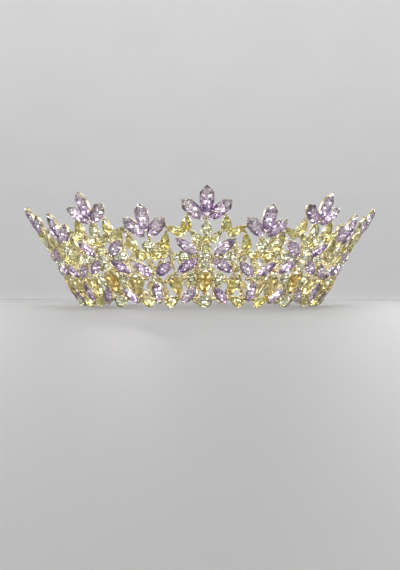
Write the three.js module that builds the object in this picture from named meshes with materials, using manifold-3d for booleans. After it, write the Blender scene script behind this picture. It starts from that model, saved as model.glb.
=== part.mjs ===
// A full-round bridal crown. Its wall is a flared cone that carries ten tall and ten low motifs of claw-set glass stones, all soldered to one metal carcass.
// Millimetres, +Z up. The axis of the crown is Z, the lowest settings stand on z = 0 and the middle of a tall motif faces -Y.
import * as THREE from "three";
import { mergeVertices } from "three/addons/utils/BufferGeometryUtils.js";
import Module from "manifold-3d";

const wasm = await Module();
wasm.setup();

// ---- driving dimensions (mm, degrees) ----
const MOTIFS = 10; // tall motifs round the crown, with one low motif between each two
const RIM_RADIUS = 72; // from the axis to the middle of the wall, at the line through the lowest round stones
const FLARE = 30.5; // how far the wall leans out from upright
const SOLE = 3.5; // how far below the rim line the lowest settings are cut flat, which is where the crown stands
const GAP = 0.3; // clearance between one solid and the next
const FLAT = 0.03; // faces within this of one plane are made one
const SETTING_BACK = -1.6; // the back of every setting, measured along the wall's outward normal
const STRIP = { low: -1.5, high: -0.7 }; // flat solder strips that join the settings of one cluster
const CARCASS = { low: -3.4, high: -1.95 }; // the carcass strips, behind the settings
const RIM_RING = { low: -1.0, high: 1.0, deeper: 0.15 }; // reach of the rim ring down and up the slant

// ---- stones ----
// x and y are a stone's centre on the unrolled wall, measured from the foot of its motif's centre line: x to the right, y up the slant.
// tilt turns the stone's point from upright towards +x. A row with pair = 2 also makes the mirror stone at -x.
// front is how far the table stands proud of the wall's middle, and table is its size as a share of the outline.
const STONES = table(`
  cluster    motif cut     pair x     y     long  wide tilt  front table
  trefoil_a  tall  navette 1    0     54.0  16.0  7.6  0     1.9   0.62
  trefoil_a  tall  navette 2    6.2   48.8  14.8  7.0  51    1.8   0.62
  trefoil_a  tall  round   1    0     46.4  6.4   4.6  0     -0.6  0.92
  trefoil_b  low   navette 1    0     46.4  15.4  7.6  0     1.9   0.62
  trefoil_b  low   navette 2    6.0   40.3  13.8  7.0  48    1.8   0.62
  trefoil_b  low   round   1    0     38.4  6.8   4.6  0     -0.6  0.92
  star       tall  navette 2    9.4   30.1  13.6  5.8  53    1.8   0.62
  star       tall  navette 2    8.8   19.5  13.4  5.8  -51   1.8   0.62
  star       tall  kite    2    9.9   24.9  10.2   5.4  -90   1.6   0.60
  star       tall  round   1    0     24.8  9.0   5.2  0     1.3   0.60
  star       tall  round   1    0     24.8  10.4  11.0 0     -0.6  0.96
  wye        low   navette 2    5.3   18.2  12.4  5.6  46.8  1.8   0.62
  wye        low   navette 1    0     5.4   14.0  5.6  0     1.8   0.62
  wye        low   round   1    0     13.2  6.4   5.8  0     -0.6  0.92
  rim        tall  pear    1    0     10.8  16.0  8.6  180   2.2   0.60
  rim        tall  round   1    0     -0.2  7.8   7.8  0     1.9   0.85
  rim        tall  kite    2    6.2   11.8  8.8   5.2  196.7 1.5   0.60
  rim        tall  navette 2    7.8   3.4   12.8  5.2  -34   1.7   0.62
  rim        tall  pear    2    13.9  8.2   14.0  7.6  194.5 2.0   0.60
  rim        tall  pear    2    15.9  -1.0  10.2  6.0  -50   1.8   0.85
  band       tall  kite    1    0     40.5  6.8   5.7  0     1.5   0.60
  band       tall  kite    2    4.6   35.1  9.2   4.6  43    1.5   0.60
  band       tall  kite    1    0     34.0  7.8   4.4  0     1.3   0.60
  band       tall  pear    2    9.3   41.6  9.8   5.2  0     1.7   0.60
  band       tall  pear    2    14.6  39.0  12.4  5.2  65    1.6   0.60
  band       low   round   1    0     30.1  7.0   6.4  0     1.7   0.60
  band       low   round   1    0     27.2  4.8   4.4  0     -0.6  0.92
  band       low   pear    2    8.6   32.6  11.6  5.2  17    1.7   0.60
  band       low   pear    2    4.2   26.0  9.4   4.8  70    1.6   0.60
`);

// ---- strips ----
// Each runs from (x1, y1) to (x2, y2) on the unrolled wall, wide across, and is thinner than its band by inset on both faces.
// side says which motif the far end is measured from: its own, or the next motif to that side.
const STRIPS = table(`
  cluster    motif pair x1    y1    x2     y2    side wide inset
  rim        tall  2    0     0.8   14.0   1.2   own  1.6  0.15
  band       low   2    9.4   35.4  12.0   39.6  own  1.8  0.15
  carcass    tall  1    0     -0.2  0      50.0  own  1.8  0
  carcass    tall  2    0     31.0  9.2    37.6  own  1.6  0.25
  carcass    tall  2    9.2   37.6  -9.4   37.0  next 1.6  0.12
  carcass    tall  2    0     24.8  -8.6   21.6  next 1.6  0.15
  carcass    tall  2    12.6  0.0   16.4   21.6  own  1.6  0.3
  carcass    low   1    0     24.6  0      42.6  own  1.8  0
  carcass    low   2    0     24.8  9.2    28.2  own  1.6  0.15
  carcass    low   2    8.8   21.6  9.4    37.0  own  1.6  0.25
  carcass    low   2    0     13.6  8.6    21.6  own  1.6  0.3
  carcass    low   1    0     -0.2  0      14.6  own  1.8  0
`);

// ---- the wall ----
const PITCH = 360 / MOTIFS;
const lean = THREE.MathUtils.degToRad(FLARE);
const SLANT_TO_APEX = RIM_RADIUS / Math.sin(lean); // the wall unrolls flat about the cone's apex

/** The point and the axes of the wall at (x, y) on the unrolled wall of a motif, turned by turn degrees round the crown. */
function wallAt(x, y, turn = 0) {
  const reach = Math.hypot(x, y + SLANT_TO_APEX);
  const swing = Math.atan2(x, y + SLANT_TO_APEX);
  const angle = THREE.MathUtils.degToRad(turn) + swing / Math.sin(lean);
  const radius = reach * Math.sin(lean);
  const height = (reach - SLANT_TO_APEX) * Math.cos(lean) + SOLE;
  const outward = [Math.sin(angle), -Math.cos(angle)];
  const point = new THREE.Vector3(outward[0] * radius, outward[1] * radius, height);
  const round = new THREE.Vector3(Math.cos(angle), Math.sin(angle), 0);
  const slant = new THREE.Vector3(outward[0] * Math.sin(lean), outward[1] * Math.sin(lean), Math.cos(lean));
  const normal = new THREE.Vector3().crossVectors(round, slant);
  const right = round.clone().multiplyScalar(Math.cos(swing)).addScaledVector(slant, Math.sin(swing));
  const up = slant.clone().multiplyScalar(Math.cos(swing)).addScaledVector(round, -Math.sin(swing));
  return { point, right, up, normal };
}

// ---- shapes ----
/** A stone's outline, counter-clockwise, with its point towards +y. */
function outline(cut, long, wide) {
  const l = long / 2;
  const w = wide / 2;
  if (cut === "round") {
    const sides = wide > 7 ? 8 : 6;
    const ring = new THREE.EllipseCurve(0, 0, w, l, Math.PI / sides, Math.PI / sides + 2 * Math.PI).getPoints(sides);
    return ring.slice(0, sides);
  }
  if (cut === "navette") {
    return halves([[0, l], [w, 0.2 * l], [w, -0.2 * l], [0, -l]]);
  }
  if (cut === "kite") {
    return halves([[0, l], [w, -0.35 * l], [0.62 * w, -l]]);
  }
  const belly = -l + w;
  return halves([[0, l], [0.95 * w, belly + 0.45 * w], [0.84 * w, belly - 0.62 * w], [0, -l]]);
}

/** Mirrors the right half of an outline, given from its point downwards. */
function halves(right) {
  const left = right.filter(([x]) => x > 0).map(([x, y]) => [-x, y]);
  return [...left, ...right.slice().reverse()].map(([x, y]) => new THREE.Vector2(x, y));
}

/** A closed solid through one outline drawn at several heights: levels are {at, scale} from back to front. */
function loft(points, levels) {
  const n = points.length;
  const positions = levels.flatMap(({ at, scale }) => points.flatMap((p) => [p.x * scale, p.y * scale, at]));
  const index = [];
  for (let level = 0; level + 1 < levels.length; level++) {
    for (let i = 0; i < n; i++) {
      const [a, b] = [level * n + i, level * n + ((i + 1) % n)];
      index.push(a, b, b + n, a, b + n, a + n);
    }
  }
  const top = (levels.length - 1) * n;
  for (let i = 1; i + 1 < n; i++) {
    index.push(0, i + 1, i, top, top + i, top + i + 1);
  }
  const geometry = new THREE.BufferGeometry();
  geometry.setAttribute("position", new THREE.Float32BufferAttribute(positions, 3));
  geometry.setIndex(index);
  return geometry;
}

/** One stone in its setting, placed on the wall. grow makes the larger, straight-walled copy that cuts its neighbours clear of it. */
function stone(row, side, turn, grow = 0) {
  const tilt = THREE.MathUtils.degToRad(row.tilt) * side;
  const { point, right, up, normal } = wallAt(row.x * side, row.y, turn);
  const along = up.clone().multiplyScalar(Math.cos(tilt)).addScaledVector(right, Math.sin(tilt));
  const across = right.clone().multiplyScalar(Math.cos(tilt)).addScaledVector(up, -Math.sin(tilt));
  const geometry = loft(outline(row.cut, row.long + 4 * grow, row.wide + 2.6 * grow), [
    { at: SETTING_BACK - 4 * grow, scale: 1 },
    { at: row.front + 4 * grow, scale: grow ? 1 : row.table },
  ]);
  geometry.applyMatrix4(new THREE.Matrix4().makeBasis(across, along, normal).setPosition(point));
  return geometry;
}

/** One flat strip between two points of the wall. */
function strip(row, side, turn, grow = 0) {
  const { low, high } = row.cluster === "carcass" ? CARCASS : STRIP;
  const far = turn + (row.side === "next" ? (side * PITCH) / 2 : 0);
  const from = wallAt(row.x1 * side, row.y1, turn);
  const to = wallAt(row.x2 * side, row.y2, far);
  const normal = from.normal.clone().add(to.normal).normalize();
  const along = to.point.clone().sub(from.point);
  const run = along.length();
  along.normalize();
  const across = new THREE.Vector3().crossVectors(along, normal).normalize();
  const out = new THREE.Vector3().crossVectors(across, along);
  const middle = from.point.clone().add(to.point).multiplyScalar(0.5).addScaledVector(out, (low + high) / 2);
  const geometry = new THREE.BoxGeometry(row.wide + 2 * grow, run + 2 * grow, high - low - 2 * row.inset + 2 * grow);
  geometry.applyMatrix4(new THREE.Matrix4().makeBasis(across, along, out).setPosition(middle));
  return geometry;
}

/** The ring that every motif's foot is soldered to. */
function rimRing(grow = 0) {
  const foot = wallAt(0, 0);
  const inside = CARCASS.low - RIM_RING.deeper - grow;
  const outside = CARCASS.high + 0.5 * RIM_RING.deeper + grow;
  const low = RIM_RING.low - grow;
  const high = RIM_RING.high + grow;
  const corners = [[low, inside], [low, outside], [high, outside], [high, inside]];
  const profile = [...corners, corners[0]].map(([y, t]) => {
    const p = wallAt(0, y).point.addScaledVector(foot.normal, t);
    return new THREE.Vector2(Math.hypot(p.x, p.y), p.z);
  });
  return new THREE.LatheGeometry(profile, 4 * MOTIFS).rotateX(Math.PI / 2);
}

// ---- solids ----
function solidOf(geometry) {
  const bare = geometry.clone();
  bare.deleteAttribute("normal");
  bare.deleteAttribute("uv");
  const merged = mergeVertices(bare, 1e-4);
  const mesh = new wasm.Mesh({
    numProp: 3,
    vertProperties: new Float32Array(merged.attributes.position.array),
    triVerts: new Uint32Array(merged.index.array),
  });
  return new wasm.Manifold(mesh);
}

function geometryOf(solid) {
  const mesh = solid.getMesh();
  const geometry = new THREE.BufferGeometry();
  geometry.setAttribute("position", new THREE.BufferAttribute(new Float32Array(mesh.vertProperties), 3));
  geometry.setIndex(new THREE.BufferAttribute(new Uint32Array(mesh.triVerts), 1));
  geometry.computeVertexNormals();
  return geometry;
}

const joined = (solids) => solids.reduce((all, one) => all.add(one));
const sidesOf = (row) => (row.pair === 2 ? [1, -1] : [1]);
const offsetOf = (row) => (row.motif === "low" ? PITCH / 2 : 0);

/** Every stone and strip of a cluster as separate solids, round the motif at turn degrees. */
function membersOf(cluster, turn, grow = 0) {
  const stones = STONES.filter((row) => row.cluster === cluster).flatMap((row) =>
    sidesOf(row).map((side) => stone(row, side, turn + offsetOf(row), grow)),
  );
  const strips = STRIPS.filter((row) => row.cluster === cluster).flatMap((row) =>
    sidesOf(row).map((side) => strip(row, side, turn + offsetOf(row), grow)),
  );
  return [...stones, ...strips].map(solidOf);
}

/** Cuts a solid clear of the clusters that keep their whole shape where the two meet. */
function clearOf(solid, clusters, turns) {
  let result = solid;
  for (const cluster of clusters) {
    for (const turn of turns) {
      result = result.subtract(joined(membersOf(cluster, turn, GAP)));
    }
  }
  return result;
}

/** Drops what lies below the standing plane. */
function trimmedFlat(solid) {
  const below = new THREE.BoxGeometry(600, 600, 40).translate(0, 0, -20);
  return solid.subtract(solidOf(below));
}

/** Only the largest body of a solid, without the crumbs that a cut leaves, and with its flat faces whole again. */
function mainBody(solid) {
  return solid.decompose().reduce((best, one) => (one.volume() > best.volume() ? one : best))
    .asOriginal()
    .simplify(FLAT);
}

const NEIGHBOURS = [-PITCH, 0, PITCH];
const trefoilA = joined(membersOf("trefoil_a", 0));
const trefoilB = joined(membersOf("trefoil_b", 0));
const star = clearOf(joined(membersOf("star", 0)), ["trefoil_b"], [-PITCH, 0]);
const wye = clearOf(joined(membersOf("wye", 0)), ["star"], [0, PITCH]);
const rim = trimmedFlat(clearOf(joined(membersOf("rim", 0)), ["star", "wye"], [-PITCH, 0]));
const bandCell = clearOf(joined(membersOf("band", 0)), ["trefoil_a", "trefoil_b", "star", "wye"], NEIGHBOURS);
const turnedCopy = (solid, degrees) => solidOf(geometryOf(solid).rotateZ(THREE.MathUtils.degToRad(degrees)));
const everyMotif = Array.from({ length: MOTIFS }, (_, i) => i * PITCH);
const band = joined(everyMotif.map((turn) => turnedCopy(bandCell, turn)));
const ring = solidOf(rimRing());
const carcass = joined(everyMotif.flatMap((turn) => membersOf("carcass", turn))).subtract(solidOf(rimRing(GAP)));

// ---- materials ----
const gold = new THREE.MeshStandardMaterial({ color: 0xcfae62, roughness: 0.28, metalness: 1 });
const lilac = new THREE.MeshStandardMaterial({ color: 0xb59ad6, roughness: 0.08, metalness: 0.1 });
const champagne = new THREE.MeshStandardMaterial({ color: 0xe3c873, roughness: 0.08, metalness: 0.1 });

// ---- the crown ----
const crown = new THREE.Group();
function piece(name, geometry, material) {
  const mesh = new THREE.Mesh(geometry, material.clone());
  mesh.name = name;
  return mesh;
}
crown.add(piece("rim_ring", geometryOf(mainBody(ring)), gold));
crown.add(piece("frame", geometryOf(mainBody(carcass)), gold));
crown.add(piece("upper_band", geometryOf(mainBody(band)), champagne));
const CLUSTERS = [
  { name: "trefoil_a", solid: trefoilA, material: lilac },
  { name: "trefoil_b", solid: trefoilB, material: lilac },
  { name: "star", solid: star, material: lilac },
  { name: "wye", solid: wye, material: lilac },
  { name: "rim", solid: rim, material: champagne },
];
for (const { name, solid, material } of CLUSTERS) {
  const geometry = geometryOf(mainBody(solid));
  everyMotif.forEach((turn, i) => {
    const station = new THREE.Group();
    station.rotation.z = THREE.MathUtils.degToRad(turn);
    station.add(piece(`${name}_${String(i + 1).padStart(2, "0")}`, geometry, material));
    crown.add(station);
  });
}

/** Reads a table whose first line names its columns. */
function table(text) {
  const [head, ...rows] = text.trim().split("\n").map((line) => line.trim().split(/\s+/));
  return rows.map((cells) =>
    Object.fromEntries(cells.map((cell, i) => [head[i], Number.isNaN(Number(cell)) ? cell : Number(cell)])),
  );
}

export default crown;
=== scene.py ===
# Bridal crown: faceted glass stones in gold claw settings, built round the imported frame. Metres, +Z up, front towards -Y.
import math
import random

import bpy
import numpy as np
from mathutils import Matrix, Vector


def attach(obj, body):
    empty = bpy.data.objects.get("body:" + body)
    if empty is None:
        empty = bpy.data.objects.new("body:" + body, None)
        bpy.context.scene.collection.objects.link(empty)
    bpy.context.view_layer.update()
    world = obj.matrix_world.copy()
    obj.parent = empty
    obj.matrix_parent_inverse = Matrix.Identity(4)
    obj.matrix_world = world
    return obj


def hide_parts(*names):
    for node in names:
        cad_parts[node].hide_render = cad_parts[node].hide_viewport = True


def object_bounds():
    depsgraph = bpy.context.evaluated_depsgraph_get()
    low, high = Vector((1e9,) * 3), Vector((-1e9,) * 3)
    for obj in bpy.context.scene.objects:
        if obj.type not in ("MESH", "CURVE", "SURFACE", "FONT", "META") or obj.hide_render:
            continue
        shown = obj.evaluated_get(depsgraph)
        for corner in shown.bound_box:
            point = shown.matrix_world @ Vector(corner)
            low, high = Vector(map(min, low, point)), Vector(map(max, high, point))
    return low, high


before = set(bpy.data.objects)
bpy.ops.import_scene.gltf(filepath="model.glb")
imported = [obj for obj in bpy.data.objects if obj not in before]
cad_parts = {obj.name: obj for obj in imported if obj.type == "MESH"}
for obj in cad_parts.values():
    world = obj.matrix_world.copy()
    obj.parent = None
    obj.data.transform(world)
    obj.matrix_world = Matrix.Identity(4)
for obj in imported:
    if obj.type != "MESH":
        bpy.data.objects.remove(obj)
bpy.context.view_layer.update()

# ------------------------------------------------------------------ sizes (mm, degrees)
MOTIFS = 10
RIM_RADIUS = 72.0
FLARE = 30.5
SOLE = 3.5
PITCH = 360.0 / MOTIFS
LEAN = math.radians(FLARE)
APEX = RIM_RADIUS / math.sin(LEAN)
WIRE_DEPTH = -2.62
MM = 0.001
rng = random.Random(41)


def table(text):
    """Rows of a table whose first line names its columns."""
    head, *rows = [line.split() for line in text.strip().splitlines()]

    def value(cell):
        try:
            return float(cell)
        except ValueError:
            return cell

    return [dict(zip(head, map(value, row))) for row in rows]


# x, y: centre on the unrolled wall from the foot of the motif's centre line. tilt turns the point from upright towards +x.
# deep is the height of the table over the girdle, and lift moves the whole stone out from the wall.
STONES = table("""
node       motif cut     pair x     y     long  wide tilt  deep lift hue
trefoil_a  tall  finial  1    0     53.0  15.1  6.6  0     1.75 0.45 lilac
trefoil_a  tall  finial  2    6.15  48.5  14.3  6.3  50    1.6  -0.15 lilac
trefoil_b  low   finial  1    0     45.2  14.7  6.5  0     1.7  0.40 lilac
trefoil_b  low   finial  2    5.60  40.2  13.5  6.2  46    1.6  -0.15 lilac
star       tall  navette 2    8.9   29.8  13.4  5.6  53    1.5  0.0  lilac
star       tall  navette 2    8.5   19.9  13.2  5.6  -51   1.5  0.0  lilac
star       tall  pear    2    9.8   24.85 9.2   5.0  -90   1.3  -0.1 clear
star       tall  round   1    0     29.3  4.4   5.6  0     1.2  0.30 pale
star       tall  round   1    0     24.9  4.3   6.2  0     1.2  0.40 clear
star       tall  round   1    0     20.5  4.4   5.6  0     1.2  0.30 clear
wye        low   navette 2    5.3   18.2  12.2  5.4  46.8  1.5  0.0  lilac
wye        low   navette 1    0     5.5   13.4  5.4  0     1.5  0.0  lilac
wye        low   round   1    0     13.9  2.8   2.8  0     0.9  0.70 clear
rim        tall  pear    1    0     11.05 14.8  8.4  180   1.9  0.2  amber
rim        tall  round   1    0     0.30  7.3   7.3  0     1.7  0.1  clear
rim        tall  pear    2    6.5   12.1  8.2   4.9  196.7 1.2  -0.15 clear
rim        tall  navette 2    7.8   3.4   12.4  5.0  -34   1.4  0.0  lilac
rim        tall  pear    2    13.85 8.5   13.2  7.2  194.5 1.7  0.0  loop
rim        tall  pear    2    15.7  -0.45 9.3   5.5  -50   1.5  0.0  champagne
upper_band tall  pear    1    0     40.3  7.2   5.6  0     1.2  0.0  clear
upper_band tall  pear    2    4.9   35.4  8.2   4.3  43    1.2  0.0  pale
upper_band tall  navette 1    0     34.0  5.6   3.6  0     1.1  0.15 champagne
upper_band tall  pear    2    9.2   42.0  9.0   5.2  -3    1.4  0.0  champagne
upper_band tall  pear    2    14.5  37.8  10.4  4.4  66    1.3  -0.25  champagne
upper_band low   round   1    0     30.5  6.2   6.2  0     1.3  0.0  clear
upper_band low   pear    2    8.7   32.8  10.7  4.9  17    1.4  0.0  champagne
upper_band low   pear    2    4.45  26.0  8.7   4.5  70    1.3  0.0  champagne
""")

# Wires behind the settings: from (x1, y1) to (x2, y2), the far end on its own motif or on the next one.
WIRES = table("""
motif pair x1    y1    x2     y2    side wide
tall  1    0     -0.2  0      50.0  own  0.60
tall  2    0     31.0  9.2    37.6  own  0.46
tall  2    9.2   37.6  -9.4   37.0  next 0.46
tall  2    0     24.8  -8.6   21.6  next 0.30
tall  2    12.6  0.0   16.4   21.6  own  0.30
low   1    0     24.6  0      42.6  own  0.60
low   2    0     24.8  9.2    28.2  own  0.46
low   2    8.8   21.6  9.4    37.0  own  0.30
low   2    0     13.6  8.6    21.6  own  0.46
low   1    0     -0.2  0      14.6  own  0.60
""")


# ------------------------------------------------------------------ the flared wall
def wall_at(x, y, turn=0.0):
    """The point and the axes (right, up, normal) of the wall at (x, y) of the motif that stands at turn degrees."""
    reach = math.hypot(x, y + APEX)
    swing = math.atan2(x, y + APEX)
    angle = math.radians(turn) + swing / math.sin(LEAN)
    radius = reach * math.sin(LEAN)
    out = np.array([math.sin(angle), -math.cos(angle), 0.0])
    point = out * radius + np.array([0, 0, (reach - APEX) * math.cos(LEAN) + SOLE])
    around = np.array([math.cos(angle), math.sin(angle), 0.0])
    slant = out * math.sin(LEAN) + np.array([0, 0, math.cos(LEAN)])
    normal = np.cross(around, slant)
    right = around * math.cos(swing) + slant * math.sin(swing)
    up = slant * math.cos(swing) - around * math.sin(swing)
    return point, right, up, normal


# ------------------------------------------------------------------ mesh gathering
class Bag:
    """Vertices and faces of one piece, with a material number, a smooth flag and a tint for each face; on the stones
    the tint holds painted shade and painted highlights as well as their colour.
    """

    def __init__(self):
        self.verts, self.faces, self.mats, self.smooth, self.tints = [], [], [], [], []
        self.count = 0

    def add(self, verts, faces, mat, smooth, tint_and_painted_light):
        base = self.count
        self.verts.append(np.asarray(verts, float))
        self.count += len(verts)
        self.faces.extend([tuple(base + i for i in f) for f in faces])
        n = len(faces)
        self.mats.extend(mat if isinstance(mat, list) else [mat] * n)
        self.smooth.extend([smooth] * n)
        self.tints.extend(tint_and_painted_light if isinstance(tint_and_painted_light, list) else [tint_and_painted_light] * n)

    def object(self, name, materials):
        mesh = bpy.data.meshes.new(name)
        verts = np.concatenate(self.verts) * MM
        mesh.from_pydata(verts.tolist(), [], self.faces)
        for m in materials:
            mesh.materials.append(m)
        mesh.polygons.foreach_set("material_index", np.array(self.mats, np.int32))
        mesh.polygons.foreach_set("use_smooth", np.array(self.smooth, bool))
        # the tint attribute carries the stones' painted shade and painted highlights along with their colour
        layer = mesh.color_attributes.new("tint_and_painted_light", "FLOAT_COLOR", "CORNER")
        sizes = np.array([len(f) for f in self.faces])
        rgba = np.ones((len(self.faces), 4), np.float32)
        rgba[:, :3] = np.array(self.tints, np.float32)
        layer.data.foreach_set("color", np.repeat(rgba, sizes, axis=0).ravel())
        mesh.validate()
        mesh.update()
        obj = bpy.data.objects.new(name, mesh)
        bpy.context.scene.collection.objects.link(obj)
        return obj


# ------------------------------------------------------------------ stone shapes
SHOULDERS = {
    "finial": ((0, 1), (0.50, 0.79), (0.98, 0.53), (1.0, 0.06), (0.92, -0.40), (0.54, -0.77), (0, -1)),
    "navette": ((0, 1), (0.47, 0.74), (0.86, 0.40), (1.0, 0.0), (0.86, -0.40), (0.47, -0.74), (0, -1)),
}


def outline(cut, a):
    """A point of the unit outline at angle a, with the stone's point at 90 degrees."""
    c, s = math.cos(a), math.sin(a)
    if cut == "round":
        return c, s
    if cut in SHOULDERS:
        corners = SHOULDERS[cut]
        share = (math.pi / 2 - math.atan2(s, abs(c))) / math.pi * (len(corners) - 1)
        i = min(int(share), len(corners) - 2)
        t = share - i
        x = corners[i][0] * (1 - t) + corners[i + 1][0] * t
        y = corners[i][1] * (1 - t) + corners[i + 1][1] * t
        return math.copysign(x, c), y
    belly = -0.42
    if s >= 0:
        y = belly + (1 - belly) * s**1.1
        u = (y - belly) / (1 - belly)
        return math.copysign(1 - u**1.75, c) if abs(c) > 1e-9 else 0.0, y
    return c, belly + (1 + belly) * s


def ring(cut, n, half, wide, long, z, phase=0.0):
    """n points of the outline scaled to half widths wide and long, at height z."""
    pts = []
    for i in range(n):
        x, y = outline(cut, half + phase + 2 * math.pi * i / n)
        pts.append((x * wide, y * long, z))
    return pts


def hull(points):
    """Vertices and outward faces of the convex hull of points."""
    import bmesh

    bm = bmesh.new()
    for p in points:
        bm.verts.new(p)
    bm.verts.ensure_lookup_table()
    made = bmesh.ops.convex_hull(bm, input=bm.verts, use_existing_faces=False)
    loose = [v for v in bm.verts if not v.link_faces]
    bmesh.ops.delete(bm, geom=loose, context="VERTS")
    bmesh.ops.dissolve_limit(
        bm, angle_limit=math.radians(1.2), verts=bm.verts, edges=bm.edges
    )
    bmesh.ops.recalc_face_normals(bm, faces=bm.faces)
    bm.verts.index_update()
    verts = [tuple(v.co) for v in bm.verts]
    faces = [tuple(v.index for v in f.verts) for f in bm.faces]
    bm.free()
    return verts, faces


# The rings of a pavilion: share of the width, share of the length, depth at its even and at its odd corners.
PAVILION = (
    (0.86, 0.91, -0.78, -0.46),
    (0.60, 0.70, -0.40, -0.98),
    (0.30, 0.42, -1.06, -0.52),
)
CULET = -0.86
_gems = {}


def gem(cut, long, wide, deep):
    """A brilliant-cut stone: crown with a table over the girdle, and a star-cut pavilion whose facets turn to and fro. Girdle at z = 0. Gives the vertices, the faces and the band of each face: 0 for the crown, 1 to 4 inwards on the pavilion."""
    key = (cut, long, wide, deep)
    if key in _gems:
        return _gems[key]
    l, w = long / 2, wide / 2
    step = math.pi / 8
    # the corners of a navette's outline fall on every 30 degrees
    n = 12
    pts = ring(cut, n, 0, w, l, -0.14) + ring(cut, n, 0, w, l, 0.12)
    if cut in SHOULDERS:
        tw, tl = (0.30, 0.58) if cut == "finial" else (0.32, 0.52)
        pts += ring(cut, 12, 0, 0.76 * w, 0.86 * l, 0.12 + 0.55 * deep)
        pts += ring(cut, 12, 0, tw * w, tl * l, 0.12 + deep)
    else:
        tw, tl = (0.48, 0.48) if cut == "round" else (0.40, 0.46)
        pts += ring(cut, 8, step, 0.90 * w, 0.91 * l, 0.12 + 0.42 * deep)
        pts += ring(cut, 8, 0, 0.68 * w, 0.71 * l, 0.12 + 0.80 * deep)
        pts += ring(cut, 8, step, tw * w, tl * l, 0.12 + deep)
    verts, faces = hull(pts)
    # the hull's flat underside gives way to the pavilion, which starts from the same girdle corners
    under = next(f for f in faces if max(verts[i][2] for i in f) < -0.13)
    faces = [f for f in faces if f is not under]
    bands = [0] * len(faces)
    edge = ring(cut, n, 0, w, l, -0.14)
    outer = [min(range(len(verts)), key=lambda i: math.dist(verts[i], p)) for p in edge]
    swell = min(1.0, 0.36 * w)
    # long stones turn to and fro a little more, which splits their light into streaks
    sway = 1.12 if cut in SHOULDERS else 1.0
    for band, (share_w, share_l, even, odd) in enumerate(PAVILION, 1):
        inner = []
        for i in range(n):
            x, y = outline(cut, 2 * math.pi * i / n)
            z = (even + odd) / 2 + (odd - even) / 2 * sway * (1 if i % 2 else -1)
            inner.append(len(verts))
            verts.append((x * w * share_w, y * l * share_l, -0.72 + (z + 0.72) * swell))
        for i in range(n):
            j = (i + 1) % n
            if (i + band) % 2:
                faces += [(outer[i], inner[i], outer[j]), (outer[j], inner[i], inner[j])]
            else:
                faces += [(outer[i], inner[i], inner[j]), (outer[i], inner[j], outer[j])]
            bands += [band, band]
        outer = inner
    verts.append((0.0, 0.0, -0.72 + (CULET + 0.72) * swell))
    for i in range(n):
        faces.append((outer[i], len(verts) - 1, outer[(i + 1) % n]))
        bands.append(4)
    verts = np.array(verts)
    _gems[key] = verts, faces, bands
    return _gems[key]


def sweep(rings, close_low=True, close_high=True):
    """Faces over a stack of rings with the same number of points, low to high, with flat caps."""
    n = len(rings[0])
    verts = [p for r in rings for p in r]
    faces = []
    for j in range(len(rings) - 1):
        a, b = j * n, (j + 1) * n
        faces += [(a + i, a + (i + 1) % n, b + (i + 1) % n, b + i) for i in range(n)]
    if close_low:
        faces.append(tuple(reversed(range(n))))
    if close_high:
        faces.append(tuple((len(rings) - 1) * n + i for i in range(n)))
    return verts, faces


_cups = {}


def cup(cut, long, wide):
    """A metal cup under the stone: an outer wall up to the girdle, a rolled lip, and a dimpled back."""
    key = (cut, long, wide)
    if key in _cups:
        return _cups[key]
    l, w = long / 2, wide / 2
    n = 20 if wide > 3.4 else 14

    def at(grow, z, share=1.0):
        return ring(cut, n, 0, (w + grow) * share, (l + 1.35 * grow) * share, z)

    stack = [
        at(0, -1.42, 0.40),
        at(0, -1.58, 0.46),
        at(-0.60, -1.60),
        at(-0.36, -1.50),
        at(-0.22, -1.00),
        at(-0.10, -0.45),
        at(-0.05, -0.24),
        at(-0.10, -0.17),
        at(-0.16, -0.26),
        at(-0.20, -0.90),
        at(-0.2, -1.22, 0.72),
    ]
    # the stack runs up the outside and down the inside, so both caps close one shell
    verts, faces = sweep(stack)
    _cups[key] = np.array(verts), faces
    return _cups[key]


CLAWS = {
    "finial": (60, 120, 240, 300),
    "navette": (60, 120, 240, 300),
    "pear": (62, 118, 215, 325),
    "round": (45, 135, 225, 315),
}


def tube(path, radii, sides, normal=(0, 0, 1), capped=True):
    """A tube along a path, with a radius at each point."""
    path = np.asarray(path, float)
    n = len(path)
    tang = np.gradient(path, axis=0)
    tang /= np.linalg.norm(tang, axis=1)[:, None]
    ref = np.asarray(normal, float)
    rings = []
    for i in range(n):
        side = np.cross(tang[i], ref)
        if np.linalg.norm(side) < 1e-6:
            side = np.cross(tang[i], (1.0, 0.2, 0.0))
        side /= np.linalg.norm(side)
        other = np.cross(side, tang[i])
        rings.append([tuple(path[i] + radii[i] * (math.cos(t) * other + math.sin(t) * side)) for t in [2 * math.pi * k / sides for k in range(sides)]])
    verts, faces = sweep(rings, capped, capped)
    return verts, faces


_claws = {}


def claws(cut, long, wide, deep):
    """Prongs that rise from the cup and fold over the stone's edge."""
    key = (cut, long, wide, deep)
    if key in _claws:
        return _claws[key]
    l, w = long / 2, wide / 2
    fat = 0.22 if wide > 4.5 else 0.18
    verts, faces = [], []
    for degrees in CLAWS[cut]:
        a = math.radians(degrees)
        x, y = outline(cut, a)
        edge = np.array([x * w, y * l])
        inward = -edge / np.linalg.norm(edge)
        # lean the fold towards the nearest part of the long axis, not towards the middle
        inward = np.array([-math.copysign(1.0, x) if abs(x) > 0.05 else 0.0, inward[1] * 0.6])
        inward /= np.linalg.norm(inward)
        stops = [(0.14, -1.10), (0.02, -0.50), (-0.10, 0.02), (0.02, 0.30), (0.22, 0.48), (0.36, 0.56)]
        path = [(*(edge + inward * s), z) for s, z in stops]
        radii = [fat * 0.9, fat, fat * 0.95, fat * 0.9, fat * 0.78, fat * 0.45]
        v, f = tube(path, radii, 7, normal=(-inward[1], inward[0], 0))
        base = len(verts)
        verts += v
        faces += [tuple(base + i for i in g) for g in f]
    _claws[key] = np.array(verts), faces
    return _claws[key]


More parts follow.
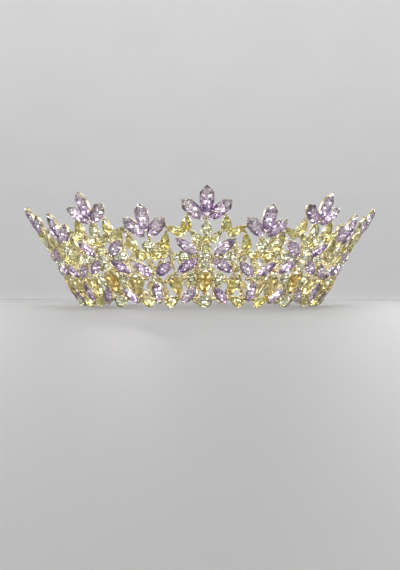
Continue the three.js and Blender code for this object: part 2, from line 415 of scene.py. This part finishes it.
def bead(centre, r, flat=1.0, axes=None, rows=6, cols=10):
    """A small solder bead, a ball pressed flat by flat along its last axis."""
    verts, faces = [(0, 0, -1)], []
    for i in range(1, rows):
        t = math.pi * i / rows
        verts += [(math.sin(t) * math.cos(2 * math.pi * k / cols), math.sin(t) * math.sin(2 * math.pi * k / cols), -math.cos(t)) for k in range(cols)]
    verts.append((0, 0, 1))
    last = len(verts) - 1
    for k in range(cols):
        faces.append((0, 1 + (k + 1) % cols, 1 + k))
        top = 1 + (rows - 2) * cols
        faces.append((last, top + k, top + (k + 1) % cols))
    for i in range(rows - 2):
        a, b = 1 + i * cols, 1 + (i + 1) * cols
        faces += [(a + k, a + (k + 1) % cols, b + (k + 1) % cols, b + k) for k in range(cols)]
    v = np.array(verts) * np.array([r, r, r * flat])
    if axes is not None:
        v = v @ np.array(axes)
    return v + np.asarray(centre), faces


# ------------------------------------------------------------------ hues
HUES = {
    "lilac": [(0.97, 0.91, 0.98), (0.94, 0.84, 0.97), (0.98, 0.93, 1.0), (0.90, 0.79, 0.94), (0.96, 0.89, 0.98)],
    "champagne": [(0.94, 0.92, 0.66), (0.94, 0.90, 0.59), (0.94, 0.93, 0.74)],
    "loop": [(0.94, 0.91, 0.70), (0.94, 0.90, 0.64)],
    "amber": [(0.94, 0.90, 0.68), (0.94, 0.89, 0.62)],
    "pale": [(0.94, 0.94, 0.77), (0.94, 0.94, 0.72)],
    "clear": [(0.94, 0.94, 0.84), (0.93, 0.94, 0.80), (0.94, 0.94, 0.88)],
}


# The mirror behind each hue by band, with painted light in its colours: the rim under the girdle, mostly pale as a
# painted highlight outline; a flank ring of facets, painted dark as painted shade on one side and lighter on the other;
# the core, pale as a painted highlight in most hues but amber in the loop and amber stones, which is their own colour
# (side for its outer facets there); and the keel at the culet, painted as a bright highlight streak.
FOIL_BANDS_WITH_PAINTED_LIGHT = {
    "lilac": {
        "rim": [(1.0, 0.98, 1.0), (1.0, 0.96, 0.92), (0.74, 0.63, 0.78), (0.52, 0.42, 0.58)],
        "painted_shade": [(0.15, 0.08, 0.22), (0.32, 0.20, 0.42)],
        "light": [(0.96, 0.84, 0.98), (0.66, 0.50, 0.73)],
        "core": [(1.0, 0.97, 1.0), (1.0, 0.95, 1.0), (0.94, 0.82, 0.97)],
        "keel": [(1.0, 0.98, 1.0)],
    },
    "champagne": {
        "rim": [(1.0, 1.0, 0.86), (1.0, 0.99, 0.78), (0.88, 0.82, 0.50)],
        "painted_shade": [(0.62, 0.52, 0.20), (0.78, 0.67, 0.30)],
        "light": [(0.99, 0.95, 0.64), (0.94, 0.88, 0.52)],
        "core": [(1.0, 0.99, 0.74), (1.0, 0.93, 0.52), (0.90, 0.74, 0.31)],
        "keel": [(1.0, 1.0, 0.80)],
    },
    "loop": {
        "rim": [(1.0, 1.0, 0.88), (1.0, 0.98, 0.80)],
        "painted_shade": [(0.80, 0.64, 0.28), (0.90, 0.75, 0.38)],
        "light": [(1.0, 0.94, 0.66), (1.0, 0.99, 0.82)],
        "core": [(1.0, 0.88, 0.50), (0.97, 0.77, 0.34)],
        "side": [(1.0, 0.99, 0.80), (1.0, 0.94, 0.64), (0.93, 0.80, 0.44)],
        "keel": [(1.0, 0.91, 0.58)],
    },
    "amber": {
        "rim": [(1.0, 0.99, 0.84), (1.0, 0.96, 0.72)],
        "painted_shade": [(0.76, 0.55, 0.18)],
        "light": [(0.98, 0.84, 0.44), (1.0, 0.92, 0.62)],
        "core": [(1.0, 0.78, 0.34), (1.0, 0.70, 0.26)],
        "side": [(1.0, 0.95, 0.70), (1.0, 0.86, 0.48), (0.90, 0.72, 0.32)],
        "keel": [(1.0, 0.76, 0.32)],
    },
    "pale": {
        "rim": [(1.0, 1.0, 0.88), (0.90, 0.88, 0.62)],
        "painted_shade": [(0.54, 0.51, 0.30), (0.70, 0.67, 0.42)],
        "light": [(0.98, 0.96, 0.72), (1.0, 1.0, 0.84)],
        "core": [(1.0, 1.0, 0.86), (1.0, 0.97, 0.70), (0.76, 0.73, 0.46)],
        "keel": [(1.0, 1.0, 0.90)],
    },
    "clear": {
        "rim": [(1.0, 1.0, 0.92), (0.99, 0.98, 0.78)],
        "painted_shade": [(0.43, 0.42, 0.29), (0.62, 0.60, 0.43)],
        "light": [(0.95, 0.94, 0.77), (0.99, 1.0, 0.89)],
        "core": [(0.99, 1.0, 0.91), (0.97, 0.96, 0.75), (0.62, 0.60, 0.45)],
        "keel": [(0.97, 0.98, 0.89)],
    },
}

# Painted shade on the crown: how dark each crown facet's tint is painted, at random, so that a turned stone glints
# facet by facet.
PAINTED_FACET_SHADES = (1.0, 1.0, 0.96, 0.86, 0.70)


def foil_facet_colour_with_painted_light(hue, u, v, band, painted_shade_side, depth):
    """The mirror tint of a pavilion facet at the shares u across and v along the stone, with painted light in it: the
    palest rim tints at the tips as painted highlight, and painted shade on one flank. The flank painted darker lies in
    the given direction, and depth is how dark that painted shade is.
    """
    bands = FOIL_BANDS_WITH_PAINTED_LIGHT[hue]
    # painted light: the foil at the tips takes the palest rim tints, so that the tips do not look dark
    if abs(v) > 0.66:
        return rng.choice(bands["rim"][:2])
    if band == 1:
        return rng.choice(bands["rim"])
    if band == 4:
        return rng.choice(bands["keel"])
    # painted shade: facets towards the shaded flank mix towards the dark tints, fully on the flank ring and partly in
    # the core, and the rest of the flank ring takes a quarter of it
    away = (u * painted_shade_side[0] + v * painted_shade_side[1]) / max(math.hypot(u, v), 1e-6)
    if band == 3:
        core = bands["core"] if abs(u) < 0.16 or "side" not in bands else bands["side"]
        painted_shade, light = np.array(rng.choice(bands["painted_shade"])), np.array(rng.choice(core))
        share = depth * ((0.55 if hue == "lilac" else 0.25) if away > 0.2 else 0.0)
    else:
        painted_shade, light = np.array(rng.choice(bands["painted_shade"])), np.array(rng.choice(bands["light"]))
        painted_shade = painted_shade * (1.0 if hue == "lilac" else 0.72)
        share = depth * (1.0 if away > 0.2 else 0.25)
    return tuple(painted_shade * share + light * (1 - share))


def fade_as_painted_reflection(tint_and_painted_light, v):
    """The tint of a finial stone's facet, which loses its colour towards the upper point, greyed as a painted
    reflection.
    """
    share = 0.85 * min(1.0, max(0.0, (v + 0.05) / 0.75))
    grey = 0.5 * (tint_and_painted_light.max() + tint_and_painted_light.mean()) * np.array([1.0, 0.99, 0.975])
    return tint_and_painted_light * (1 - share) + np.minimum(grey, 1.0) * share


GLASS, FOIL, METAL = 0, 1, 2


def set_stone(bag, row, side, turn):
    """One stone with its cup and claws, set on the wall."""
    tilt = math.radians(row["tilt"] * side + rng.uniform(-2.2, 2.2))
    point, right, up, normal = wall_at(row["x"] * side, row["y"], turn)
    rock, nod = math.radians(rng.uniform(-2.5, 2.5)), math.radians(rng.uniform(-2.0, 2.0))
    along = up * math.cos(tilt) + right * math.sin(tilt)
    across = right * math.cos(tilt) - up * math.sin(tilt)
    # a slight lean of each hand-set stone
    across2 = across * math.cos(rock) + normal * math.sin(rock)
    n2 = normal * math.cos(rock) - across * math.sin(rock)
    along2 = along * math.cos(nod) + n2 * math.sin(nod)
    n2 = n2 * math.cos(nod) - along * math.sin(nod)
    basis = np.array([across2, along2, n2])
    seat = point + normal * row["lift"]
    hue = np.array(rng.choice(HUES[row["hue"]]))

    verts, faces, bands = gem(row["cut"], row["long"], row["wide"], row["deep"])
    # painted shade: the flank painted darker is on either side or below, never above, whatever way the stone points,
    # and how dark it is differs from stone to stone
    swing, depth = math.radians(rng.uniform(-200, 20)) + tilt, rng.uniform(0.45, 1.0)
    painted_shade_side = (math.cos(swing), math.sin(swing))
    top = float(verts[:, 2].max())
    mats, tints = [], []
    for f, band in zip(faces, bands):
        z = float(np.mean(verts[list(f), 2]))
        if band == 0:
            mats.append(GLASS)
            v = float(np.mean(verts[list(f), 1])) * 2 / row["long"]
            tip = abs(v) > 0.66
            # painted shade: each crown facet but the table and the tips takes a random painted shade
            shade = 1.0 if tip or z > top - 0.02 else rng.choice(PAINTED_FACET_SHADES)
            # painted light: the tips are paler than the body, and a facet with more painted shade is deeper in colour
            # too
            tint_and_painted_light = hue**(0.35 if tip else 1 + 4 * (1 - shade)) * shade
            tints.append(tuple(fade_as_painted_reflection(tint_and_painted_light, v) if row["cut"] == "finial" else tint_and_painted_light))
        else:
            mats.append(FOIL)
            u, v = (float(np.mean(verts[list(f), k])) * 2 / row[size] for k, size in ((0, "wide"), (1, "long")))
            tint_and_painted_light = np.array(foil_facet_colour_with_painted_light(row["hue"], u, v, band, painted_shade_side, depth))
            tints.append(tuple(fade_as_painted_reflection(tint_and_painted_light, v) if row["cut"] == "finial" else tint_and_painted_light))
    bag.add(verts @ basis + seat, faces, mats, False, tints)
    for v, f in (cup(row["cut"], row["long"], row["wide"]), claws(row["cut"], row["long"], row["wide"], row["deep"])):
        bag.add(v @ basis + seat, f, METAL, True, (1.0, 1.0, 1.0))


# ------------------------------------------------------------------ materials
def nodes_of(name):
    mat = bpy.data.materials.new(name)
    mat.use_nodes = True
    tree = mat.node_tree
    bsdf = tree.nodes["Principled BSDF"]
    return mat, tree, bsdf


def noise(tree, scale, detail=3.0, low=0.0, high=1.0, rough=0.5):
    coord = tree.nodes.new("ShaderNodeTexCoord")
    tex = tree.nodes.new("ShaderNodeTexNoise")
    tex.inputs["Scale"].default_value = scale
    tex.inputs["Detail"].default_value = detail
    tex.inputs["Roughness"].default_value = rough
    tree.links.new(coord.outputs["Object"], tex.inputs["Vector"])
    span = tree.nodes.new("ShaderNodeMapRange")
    span.inputs["From Min"].default_value = 0.3
    span.inputs["From Max"].default_value = 0.7
    span.inputs["To Min"].default_value = low
    span.inputs["To Max"].default_value = high
    tree.links.new(tex.outputs["Fac"], span.inputs["Value"])
    return span.outputs["Result"], tex


def tinted(tree, socket, shade, scale, amount):
    """The face tint, with its painted shade and painted highlights, mottled at random slightly towards the colour given
    as shade, into socket.
    """
    attr = tree.nodes.new("ShaderNodeAttribute")
    attr.attribute_name = "tint_and_painted_light"
    mix = tree.nodes.new("ShaderNodeMix")
    mix.data_type = "RGBA"
    mix.blend_type = "MULTIPLY"
    fac, _ = noise(tree, scale, low=0.0, high=amount)
    tree.links.new(fac, mix.inputs[0])
    tree.links.new(attr.outputs["Color"], mix.inputs[6])
    mix.inputs[7].default_value = (*shade, 1)
    tree.links.new(mix.outputs[2], socket)


def glass_material():
    mat, tree, bsdf = nodes_of("cut_glass")
    bsdf.inputs["Transmission Weight"].default_value = 1.0
    bsdf.inputs["IOR"].default_value = 1.56
    # glass colour: the face tint with its painted facet shade, mottled at random
    tinted(tree, bsdf.inputs["Base Color"], (0.93, 0.91, 0.95), 420.0, 0.30)
    rough, _ = noise(tree, 900.0, low=0.0, high=0.025)
    tree.links.new(rough, bsdf.inputs["Roughness"])
    return mat


def foil_material():
    mat, tree, bsdf = nodes_of("mirror_foil")
    bsdf.inputs["Metallic"].default_value = 1.0
    # foil colour: the face tint with its painted shade and painted highlights, mottled at random
    tinted(tree, bsdf.inputs["Base Color"], (0.86, 0.84, 0.80), 1500.0, 0.4)
    rough, _ = noise(tree, 1200.0, low=0.04, high=0.12)
    tree.links.new(rough, bsdf.inputs["Roughness"])
    return mat


def gold_material():
    mat, tree, bsdf = nodes_of("pale_gold_plate")
    bsdf.inputs["Metallic"].default_value = 1.0
    ramp = tree.nodes.new("ShaderNodeValToRGB")
    ramp.color_ramp.elements[0].color = (0.41, 0.335, 0.155, 1)
    ramp.color_ramp.elements[1].color = (0.77, 0.685, 0.41, 1)
    ramp.color_ramp.elements[0].position = 0.15
    ramp.color_ramp.elements[1].position = 0.75
    fac, tex = noise(tree, 350.0, detail=5.0)
    tree.links.new(fac, ramp.inputs["Fac"])
    tree.links.new(ramp.outputs["Color"], bsdf.inputs["Base Color"])
    rough, _ = noise(tree, 700.0, low=0.16, high=0.34)
    tree.links.new(rough, bsdf.inputs["Roughness"])
    bump = tree.nodes.new("ShaderNodeBump")
    bump.inputs["Strength"].default_value = 0.12
    bump.inputs["Distance"].default_value = 0.0001
    height, _ = noise(tree, 2200.0, detail=2.0)
    tree.links.new(height, bump.inputs["Height"])
    tree.links.new(bump.outputs["Normal"], bsdf.inputs["Normal"])
    return mat


MATERIALS = [glass_material(), foil_material(), gold_material()]


def stones_into(bag, node, motif_index):
    for row in (r for r in STONES if r["node"] == node):
        turn = motif_index * PITCH + (PITCH / 2 if row["motif"] == "low" else 0)
        for side in (1, -1) if row["pair"] == 2 else (1,):
            set_stone(bag, row, side, turn)


def finish_piece(bag, name, node):
    obj = bag.object(name, MATERIALS)
    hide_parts(node)
    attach(obj, "root")
    return obj


for node in ("trefoil_a", "trefoil_b", "star", "wye", "rim"):
    for i in range(MOTIFS):
        bag = Bag()
        stones_into(bag, node, i)
        finish_piece(bag, f"{node}_{i + 1:02d}_stones", f"{node}_{i + 1:02d}")

bag = Bag()
for i in range(MOTIFS):
    stones_into(bag, "upper_band", i)
finish_piece(bag, "upper_band_stones", "upper_band")

# ------------------------------------------------------------------ the carcass
bag = Bag()


def wire_between(row, side, turn):
    far = turn + (side * PITCH / 2 if row["side"] == "next" else 0)
    a = wall_at(row["x1"] * side, row["y1"], turn)
    b = wall_at(row["x2"] * side, row["y2"], far)
    pa, pb = a[0] + a[3] * WIRE_DEPTH, b[0] + b[3] * WIRE_DEPTH
    steps = 7
    path = []
    for s in np.linspace(0, 1, steps):
        p = pa * (1 - s) + pb * s
        flat = np.array([p[0], p[1], 0])
        out = flat / np.linalg.norm(flat)
        # keep the wire on the cone, not on its chord
        radius = np.linalg.norm(pa[:2]) * (1 - s) + np.linalg.norm(pb[:2]) * s
        path.append(out * radius + np.array([0, 0, p[2]]))
    r = row["wide"]
    v, f = tube(path, [r] * steps, 10, normal=a[3])
    bag.add(v, f, METAL, True, (1, 1, 1))
    for wall, p in ((a, pa), (b, pb)):
        v, f = bead(p, r * 1.12, 0.85, axes=(wall[1], wall[2], wall[3]))
        bag.add(v, f, METAL, True, (1, 1, 1))


for i in range(MOTIFS):
    for row in WIRES:
        turn = i * PITCH + (PITCH / 2 if row["motif"] == "low" else 0)
        for side in (1, -1) if row["pair"] == 2 else (1,):
            wire_between(row, side, turn)

obj = bag.object("frame_wires", MATERIALS)
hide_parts("frame")
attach(obj, "root")

bag = Bag()
rim_point, _, _, rim_normal = wall_at(0, 0)
centre = rim_point + rim_normal * WIRE_DEPTH
ring_radius, ring_height = math.hypot(centre[0], centre[1]), centre[2]
sides, steps = 10, 180
verts, faces = [], []
for i in range(steps):
    a = 2 * math.pi * i / steps
    for k in range(sides):
        t = 2 * math.pi * k / sides
        r = ring_radius + 0.62 * math.cos(t)
        verts.append((r * math.sin(a), -r * math.cos(a), ring_height + 0.62 * math.sin(t)))
for i in range(steps):
    j = (i + 1) % steps
    for k in range(sides):
        m = (k + 1) % sides
        faces.append((i * sides + k, j * sides + k, j * sides + m, i * sides + m))
bag.add(verts, faces, METAL, True, (1, 1, 1))
obj = bag.object("rim_ring_wire", MATERIALS)
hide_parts("rim_ring")
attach(obj, "root")

# ------------------------------------------------------------------ floor, light and camera
lo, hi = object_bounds()


def floor():
    """A pale floor that sweeps up all round into a low wall, with no edge to see, painted darker near the crown."""
    flat, bend, top, sides = 1.3, 1.9, 1.9, 96
    profile = [(0.0, 0.0), (0.4, 0.0), (0.9, 0.0), (flat, 0.0)]
    profile += [(flat + bend * math.sin(t), bend * (1 - math.cos(t))) for t in np.linspace(0, math.pi / 2, 17)[1:]]
    verts, faces = [(0, 0, 0)], []
    for r, z in profile[1:]:
        verts += [(r * math.cos(2 * math.pi * k / sides), r * math.sin(2 * math.pi * k / sides), z) for k in range(sides)]
    faces += [(0, 1 + k, 1 + (k + 1) % sides) for k in range(sides)]
    for i in range(len(profile) - 2):
        p, q = 1 + i * sides, 1 + (i + 1) * sides
        faces += [(p + k, q + k, q + (k + 1) % sides, p + (k + 1) % sides) for k in range(sides)]
    mesh = bpy.data.meshes.new("floor")
    mesh.from_pydata(verts, [], faces)
    mesh.polygons.foreach_set("use_smooth", np.ones(len(faces), bool))
    obj = bpy.data.objects.new("floor", mesh)
    bpy.context.scene.collection.objects.link(obj)
    mat, tree, bsdf = nodes_of("floor_with_painted_shade")
    # painted shade: the floor is painted dark near the crown, where the lamps' light pools, and pale further out, so
    # that it looks evenly bright out to the wall and the stones mirror a darker floor
    ramp = tree.nodes.new("ShaderNodeValToRGB")
    ramp.color_ramp.elements[0].color = (0.26, 0.259, 0.257, 1)
    ramp.color_ramp.elements[1].color = (0.86, 0.857, 0.852, 1)
    coord = tree.nodes.new("ShaderNodeTexCoord")
    reach = tree.nodes.new("ShaderNodeVectorMath")
    reach.operation = "LENGTH"
    far = tree.nodes.new("ShaderNodeMapRange")
    far.inputs["From Min"].default_value = 0.34
    far.inputs["From Max"].default_value = 1.00
    fac, _ = noise(tree, 3.0, low=-0.03, high=0.03)
    mottled = tree.nodes.new("ShaderNodeMath")
    mottled.operation = "ADD"
    tree.links.new(coord.outputs["Object"], reach.inputs[0])
    tree.links.new(reach.outputs["Value"], far.inputs["Value"])
    tree.links.new(far.outputs["Result"], mottled.inputs[0])
    tree.links.new(fac, mottled.inputs[1])
    tree.links.new(mottled.outputs["Value"], ramp.inputs["Fac"])
    tree.links.new(ramp.outputs["Color"], bsdf.inputs["Base Color"])
    bsdf.inputs["Roughness"].default_value = 0.6
    mesh.materials.append(mat)


floor()

world = bpy.data.worlds.new("studio")
bpy.context.scene.world = world
world.use_nodes = True
tree = world.node_tree
background = tree.nodes["Background"]
coord = tree.nodes.new("ShaderNodeTexCoord")
split = tree.nodes.new("ShaderNodeSeparateXYZ")
ramp = tree.nodes.new("ShaderNodeValToRGB")
tree.links.new(coord.outputs["Generated"], split.inputs["Vector"])
tree.links.new(split.outputs["Z"], ramp.inputs["Fac"])
tree.links.new(ramp.outputs["Color"], background.inputs["Color"])
stops = [(0.0, (1.0, 1.0, 1.0)), (0.46, (1.0, 1.0, 1.0)), (0.70, (0.55, 0.55, 0.57)), (1.0, (0.15, 0.15, 0.16))]
ramp.color_ramp.elements[0].position, ramp.color_ramp.elements[1].position = stops[0][0], stops[-1][0]
ramp.color_ramp.elements[0].color, ramp.color_ramp.elements[1].color = (*stops[0][1], 1), (*stops[-1][1], 1)
for at, colour in stops[1:-1]:
    ramp.color_ramp.elements.new(at).color = (*colour, 1)
background.inputs["Strength"].default_value = 1.15


def area(name, where, size, power, colour=(1, 1, 1), target=(0, 0, 0.03), spread=180):
    light = bpy.data.lights.new(name, "AREA")
    light.shape = "RECTANGLE"
    light.size, light.size_y = size
    light.energy = power
    light.color = colour
    light.spread = math.radians(spread)
    obj = bpy.data.objects.new(name, light)
    obj.location = where
    obj.rotation_euler = (Vector(target) - Vector(where)).to_track_quat("-Z", "Y").to_euler()
    obj.visible_camera = False
    bpy.context.scene.collection.objects.link(obj)


area("key", (-0.50, -0.80, 0.62), (0.76, 0.66), 2.1, spread=110)
area("fill", (0.75, -0.65, 0.48), (0.56, 0.56), 0.98, (1.0, 0.98, 0.95), spread=110)
area("front_left", (-0.28, -0.90, 0.36), (0.06, 0.16), 0.10, spread=50)
area("front_right", (0.32, -0.88, 0.40), (0.06, 0.16), 0.09, spread=50)
area("top", (0.0, 0.1, 1.05), (0.6, 0.6), 1.7)
area("back", (0.35, 0.8, 0.95), (0.5, 0.4), 1.6, (0.96, 0.98, 1.0))

# a ring of low soft strips, for the light edges of the stones
for i, degrees in enumerate((-100, -50, 0, 50, 100, 150, 210)):
    a = math.radians(degrees)
    area(f"strip_{i + 1}", (math.sin(a), -math.cos(a), 0.36), (0.34, 0.10), 0.13, spread=50)

# small bright lamps, for the glints of cut stones
for i, (degrees, height, away) in enumerate(((-62, 0.36, 0.95), (-36, 0.26, 1.05), (-10, 0.50, 1.00), (22, 0.28, 1.05), (50, 0.40, 0.95), (95, 0.34, 1.00), (142, 0.40, 1.00), (188, 0.34, 1.00), (230, 0.42, 1.00), (266, 0.34, 0.95))):
    a = math.radians(degrees)
    area(f"glint_{i + 1}", (math.sin(a) * away, -math.cos(a) * away, height), (0.025, 0.025), 0.055, spread=50)

AZIMUTH = math.radians(-1.8)
DISTANCE, EYE, LOOK = 0.360, 0.007, 0.013
camera = bpy.data.cameras.new("camera")
camera.lens = 37.0
camera.sensor_width = 36.0
camera.clip_start = 0.01
camera.clip_end = 50
cam = bpy.data.objects.new("camera", camera)
cam.location = (math.sin(AZIMUTH) * DISTANCE, -math.cos(AZIMUTH) * DISTANCE, EYE)
cam.rotation_euler = (Vector((0, 0, LOOK)) - cam.location).to_track_quat("-Z", "Y").to_euler()
bpy.context.scene.collection.objects.link(cam)
bpy.context.scene.camera = cam
bpy.context.scene.view_settings.view_transform = "Standard"
bpy.context.scene.view_settings.exposure = 0.04
bpy.context.scene.cycles.use_denoising = True
bpy.context.scene.cycles.max_bounces = 14
bpy.context.scene.cycles.transmission_bounces = 10
bpy.context.scene.cycles.glossy_bounces = 8
